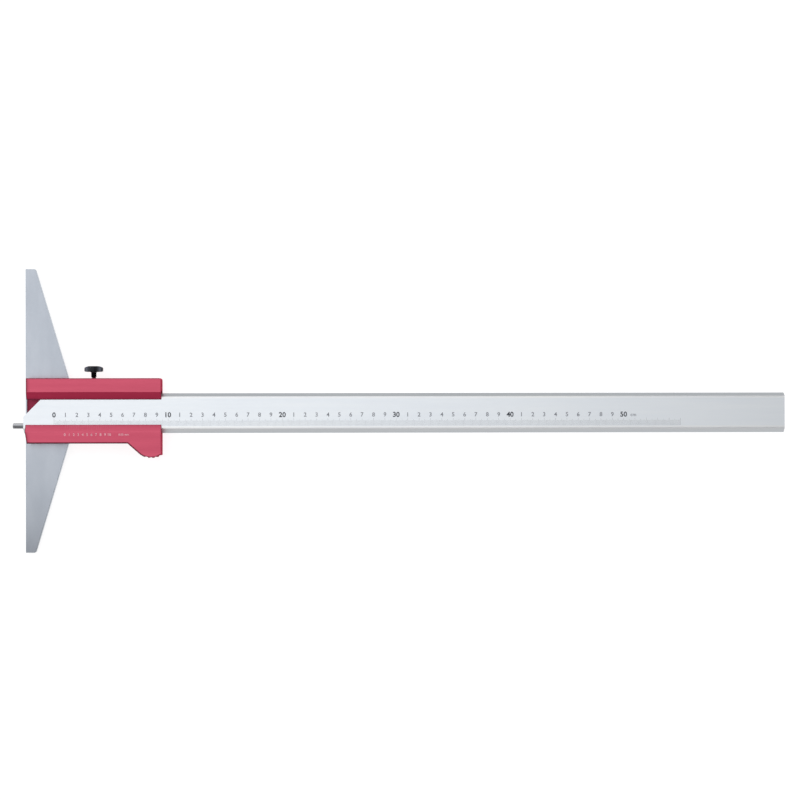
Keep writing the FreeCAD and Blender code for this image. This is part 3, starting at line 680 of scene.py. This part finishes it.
pick_points(thread, lambda place: place.x > ROOT + PITCH / 2)
bpy.ops.mesh.delete(type="VERT")
bpy.ops.mesh.select_all(action="SELECT")
bpy.ops.mesh.subdivide(number_cuts=7)
eighth = PITCH / 8
near = 0.1 * eighth
pick_points(thread, lambda place: abs(place.z) < near or abs(abs(place.z) - 2 * eighth) < near)
bpy.ops.mesh.dissolve_verts()
pick_points(thread, lambda place: abs(place.z) < 1.5 * eighth)
bpy.ops.transform.resize(value=(1, 1, 0.5))
bpy.ops.transform.translate(value=(CREST - ROOT, 0, 0))
bpy.ops.object.mode_set(mode="OBJECT")

# The winding, with spare turns at both ends, which two flat cuts take off again
winding = thread.modifiers.new("winding", "SCREW")
winding.axis = "Z"
winding.screw_offset = PITCH
winding.iterations = int(THREAD_LENGTH / PITCH) + 3
winding.steps = 40
winding.render_steps = 40
bpy.context.view_layer.objects.active = thread
thread.select_set(True)
bpy.ops.object.modifier_apply(modifier="winding")
bpy.ops.object.mode_set(mode="EDIT")
bpy.ops.mesh.select_all(action="SELECT")
bpy.ops.mesh.remove_doubles(threshold=0.000001)
for height, side in ((PITCH, -1), (PITCH + THREAD_LENGTH, 1)):
    bpy.ops.mesh.select_all(action="SELECT")
    bpy.ops.mesh.bisect(
        plane_co=(0, 0, height),
        plane_no=(0, 0, side),
        use_fill=True,
        clear_outer=True,
        threshold=0.0000001,
    )
bpy.ops.mesh.select_all(action="SELECT")
bpy.ops.mesh.normals_make_consistent(inside=False)
bpy.ops.object.mode_set(mode="OBJECT")
thread.rotation_euler = (-math.pi / 2, 0, 0)
thread.location = (STUD_X, SHOULDER - PITCH, STUD_Z)
bpy.ops.object.transform_apply(location=True, rotation=True, scale=True)
bpy.ops.object.select_all(action="DESELECT")
bpy.ops.mesh.primitive_cylinder_add(
    vertices=32,
    radius=SPIGOT_RADIUS,
    depth=SPIGOT_LENGTH + SPIGOT_ROOT,
    location=(STUD_X, SHOULDER - SPIGOT_LENGTH / 2 + SPIGOT_ROOT / 2, STUD_Z),
    rotation=(math.pi / 2, 0, 0),
)
bpy.ops.object.transform_apply(location=True, rotation=True, scale=True)
thread = gather([thread, bpy.context.object], "lock_screw_thread")
bpy.context.view_layer.objects.active = thread
thread.select_set(True)
bpy.ops.object.shade_smooth_by_angle(angle=math.radians(35))
thread.data.materials.clear()
thread.data.materials.append(dark_steel)
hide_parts("lock_screw_stud")
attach(thread, "lock_screw")
bpy.ops.object.select_all(action="DESELECT")


# The lock screw's wing: black glass-filled plastic, moulded on the stud as one piece with
# its neck. Two lobes give the fingers their hold, and its surface has the mould's fine grain.
WING_LOW, WING_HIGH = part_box("lock_screw_wing")
WING_FOOT, WING_DEPTH = 0.0338, 0.0060
WING_MIDDLE = (WING_FOOT + WING_HIGH.y) / 2
CENTRE = (STUD_X, WING_MIDDLE, STUD_Z)


def wing_points(test):
    """Selects the wing's points by their place from its centre, in millimetres."""
    pick_points(
        wing,
        lambda place: test(
            (place.x - STUD_X) * 1000, (place.y - WING_MIDDLE) * 1000, (place.z - STUD_Z) * 1000
        ),
    )


bpy.ops.mesh.primitive_cube_add(
    size=1,
    scale=(WING_HIGH.x - WING_LOW.x, WING_HIGH.y - WING_FOOT, WING_DEPTH),
    location=CENTRE,
)
wing = bpy.context.object
wing.name = "lock_screw_wing_head"
bpy.ops.object.transform_apply(location=True, rotation=True, scale=True)

# Cuts through the block, in millimetres from its centre, which leave rows of points to shape
bpy.ops.object.mode_set(mode="EDIT")
for x in (-6.6, -4.3, -2.6, -1.0, 1.0, 2.6, 4.3, 6.6):
    bpy.ops.mesh.select_all(action="SELECT")
    bpy.ops.mesh.bisect(plane_co=(STUD_X + x / 1000, 0, 0), plane_no=(1, 0, 0))
for y in (-1.7, 1.3):
    bpy.ops.mesh.select_all(action="SELECT")
    bpy.ops.mesh.bisect(plane_co=(0, WING_MIDDLE + y / 1000, 0), plane_no=(0, 1, 0))
for z in (-1.5, 1.5):
    bpy.ops.mesh.select_all(action="SELECT")
    bpy.ops.mesh.bisect(plane_co=(0, 0, STUD_Z + z / 1000), plane_no=(0, 0, 1))

# The lobes' ends, slimmer
wing_points(lambda x, y, z: abs(x) > 7.5)
bpy.ops.transform.resize(value=(1, 0.66, 0.62), center_override=CENTRE)

# The hub, deeper than the lobes
wing_points(lambda x, y, z: abs(x) < 1.5)
bpy.ops.transform.resize(value=(1, 1, 1.48), center_override=CENTRE)
wing_points(lambda x, y, z: 2 < abs(x) < 3)
bpy.ops.transform.resize(value=(1, 1, 1.16), center_override=CENTRE)

# The crown, which falls off towards the ends
wing_points(lambda x, y, z: abs(x) > 6 and y > 1)
bpy.ops.transform.translate(value=(0, -0.0003, 0))
wing_points(lambda x, y, z: abs(x) < 6 and y > 1)
bpy.ops.transform.translate(value=(0, 0.0003, 0))

# The lobes' undersides, higher than the hub's, which is drawn in towards the neck
wing_points(lambda x, y, z: 2 < abs(x) < 8 and y < -1)
bpy.ops.transform.translate(value=(0, 0.0004, 0))
wing_points(lambda x, y, z: abs(x) < 1.5 and y < -2)
bpy.ops.transform.resize(value=(1, 1, 0.7), center_override=CENTRE)
bpy.ops.transform.translate(value=(0, -0.0009, 0))

# The lobes' broad sides, fuller
wing_points(lambda x, y, z: 4 < abs(x) < 7 and abs(z) > 2 and abs(y) < 2)
bpy.ops.transform.resize(value=(1, 1, 1.1), center_override=CENTRE)
bpy.ops.object.mode_set(mode="OBJECT")
rounding = wing.modifiers.new("rounding", "SUBSURF")
rounding.levels = 3
rounding.render_levels = 3
bpy.context.view_layer.objects.active = wing
bpy.ops.object.modifier_apply(modifier="rounding")
bpy.ops.object.select_all(action="DESELECT")
wing.select_set(True)
bpy.ops.object.shade_smooth()
bpy.ops.object.select_all(action="DESELECT")

NECK_RADIUS, NECK_ROOT = 0.0023, 0.001
bpy.ops.mesh.primitive_cylinder_add(
    vertices=64,
    radius=NECK_RADIUS,
    depth=WING_FOOT - WING_LOW.y + NECK_ROOT,
    location=(STUD_X, (WING_FOOT + WING_LOW.y + NECK_ROOT) / 2, STUD_Z),
    rotation=(math.pi / 2, 0, 0),
)
neck = bpy.context.object
neck.name = "lock_screw_wing_neck"
bpy.ops.object.transform_apply(location=True, rotation=True, scale=True)
bpy.ops.object.mode_set(mode="EDIT")
bpy.ops.mesh.select_mode(type="FACE")
bpy.ops.mesh.select_all(action="DESELECT")
bpy.ops.object.mode_set(mode="OBJECT")
for face in neck.data.polygons:
    face.select = face.normal.y < -0.9
bpy.ops.object.mode_set(mode="EDIT")
bpy.ops.mesh.bevel(offset=0.0001, segments=2)
bpy.ops.object.mode_set(mode="OBJECT")
bpy.ops.object.shade_smooth_by_angle(angle=math.radians(40))

moulded_black = new_finish("moulded_black", metallic=0.0)
black_shader = moulded_black.node_tree.nodes["Principled BSDF"]
black_shader.inputs["Specular Tint"].default_value = (0.82, 0.88, 1.0, 1)
black_shader.inputs["Specular IOR Level"].default_value = 0.3
surface(
    moulded_black,
    noise(moulded_black, (1, 1, 1), 2200),
    rough=(0.26, 0.42),
    bump=0.000006,
    tone=((0.12, 0.128, 0.165), (0.15, 0.16, 0.20), noise(moulded_black, (1, 1, 1), 260)),
)
# Painted highlights make the lobes paler than the hub, which stays dark
WING_REACH = 0.0082
shade_by(
    moulded_black,
    place_on(moulded_black, "X", STUD_X - WING_REACH, STUD_X + WING_REACH),
    (
        (0.0, 0.08),
        (0.05, 0.2),
        (0.09, 1.0),
        (0.14, 1.0),
        (0.22, 0.35),
        (0.36, 0.08),
        (0.64, 0.05),
        (0.76, 0.3),
        (0.84, 1.0),
        (0.90, 0.9),
        (0.94, 0.25),
        (1.0, 0.08),
    ),
)
# Painted shade: the neck, of the same plastic as the wing, gets its own near-black, duller copy of
# the finish
neck_black_painted_shade = new_finish("neck_black_painted_shade", metallic=0.0)
neck_black_painted_shade.node_tree.nodes["Principled BSDF"].inputs["Specular IOR Level"].default_value = 0.05
surface(
    neck_black_painted_shade,
    noise(neck_black_painted_shade, (1, 1, 1), 1800),
    rough=(0.5, 0.7),
    bump=0.000006,
    tone=((0.001, 0.001, 0.0015), (0.003, 0.003, 0.004), noise(neck_black_painted_shade, (1, 1, 1), 260)),
)
for piece, finish in ((wing, moulded_black), (neck, neck_black_painted_shade)):
    piece.data.materials.clear()
    piece.data.materials.append(finish)
    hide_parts("lock_screw_wing")
    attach(piece, "lock_screw")
coat_node("lock_screw_wing", moulded_black)
bpy.ops.object.select_all(action="DESELECT")


# The studio: a plain white floor that the caliper lies on, under a soft and even light. It is
# dimmer in a band to the right of overhead and in one to the near side, which shades the bevels.
FLOOR_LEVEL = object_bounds()[0].z - 0.00005
bpy.ops.mesh.primitive_plane_add(size=30, location=(0.33, 0, FLOOR_LEVEL))
floor = bpy.context.object
floor.name = "floor"
bpy.ops.object.transform_apply(location=True, rotation=True, scale=True)
paper = bpy.data.materials.new("paper")
paper.use_nodes = True
nodes, links = paper.node_tree.nodes, paper.node_tree.links
nodes.remove(nodes["Principled BSDF"])
output = nodes["Material Output"]
lit = nodes.new("ShaderNodeBsdfDiffuse")
lit.inputs["Color"].default_value = (0.86, 0.86, 0.86, 1)
glow = nodes.new("ShaderNodeEmission")
glow.inputs["Strength"].default_value = 0.8
shaded = nodes.new("ShaderNodeBsdfDiffuse")
shaded.inputs["Color"].default_value = (0.42, 0.42, 0.42, 1)
shown = nodes.new("ShaderNodeAddShader")
links.new(glow.outputs["Emission"], shown.inputs[0])
links.new(shaded.outputs["BSDF"], shown.inputs[1])
ray = nodes.new("ShaderNodeLightPath")


def seen(node_tree, ray):
    """1 for camera, glossy and transmission rays, which see the floor white, and else 0."""
    total = ray.outputs["Is Camera Ray"]
    for name in ("Is Glossy Ray", "Is Transmission Ray"):
        more = node_tree.nodes.new("ShaderNodeMath")
        more.operation = "MAXIMUM"
        node_tree.links.new(total, more.inputs[0])
        node_tree.links.new(ray.outputs[name], more.inputs[1])
        total = more.outputs["Value"]
    return total


choice = nodes.new("ShaderNodeMixShader")
links.new(seen(paper.node_tree, ray), choice.inputs["Fac"])
links.new(lit.outputs["BSDF"], choice.inputs[1])
links.new(shown.outputs["Shader"], choice.inputs[2])
links.new(choice.outputs["Shader"], output.inputs["Surface"])
floor.data.materials.append(paper)

world = bpy.data.worlds.new("studio")
bpy.context.scene.world = world
world.use_nodes = True
nodes, links = world.node_tree.nodes, world.node_tree.links
back = nodes["Background"]
direction = nodes.new("ShaderNodeTexCoord")
split = nodes.new("ShaderNodeSeparateXYZ")
links.new(direction.outputs["Generated"], split.inputs["Vector"])


def fade(axis, start, end, low, high):
    """Light that goes softly from one strength to another along an axis of the room."""
    node = nodes.new("ShaderNodeMapRange")
    node.interpolation_type = "SMOOTHSTEP"
    node.inputs["From Min"].default_value = start
    node.inputs["From Max"].default_value = end
    node.inputs["To Min"].default_value = low
    node.inputs["To Max"].default_value = high
    links.new(split.outputs[axis], node.inputs["Value"])
    return node.outputs["Result"]


def join_light(operation, first, second):
    """Two strengths of light made one."""
    node = nodes.new("ShaderNodeMath")
    node.operation = operation
    links.new(first, node.inputs[0])
    links.new(second, node.inputs[1])
    return node.outputs["Value"]


left_side = fade("X", -0.04, 0.40, 1.0, 0.22)
right_side = fade("X", 0.46, 0.70, 0.22, 0.85)
far_side = fade("Y", -0.42, 0.02, 0.28, 1.0)
near_side = fade("Y", -0.68, -0.46, 0.85, 0.28)
overhead = fade("Z", 0.55, 0.92, 0.80, 1.0)
across = join_light("MAXIMUM", left_side, right_side)
along = join_light("MAXIMUM", far_side, near_side)
light = join_light("MULTIPLY", join_light("MULTIPLY", across, along), overhead)
links.new(light, back.inputs["Color"])
back.inputs["Strength"].default_value = 1.2


# The camera: straight above the middle of the tool, as in the photograph, from about
# 1.7 m, with the small lean to the left that shows the slider's left end.
lens = bpy.data.cameras.new("camera")
lens.sensor_width = 36
lens.lens = 89.152
camera = bpy.data.objects.new("camera", lens)
bpy.context.scene.collection.objects.link(camera)
camera.location = (0.3076, 0.0092, 1.7529)
camera.rotation_euler = (0, -0.01274, -0.0014)
bpy.context.scene.camera = camera
bpy.context.scene.view_settings.view_transform = "Standard"
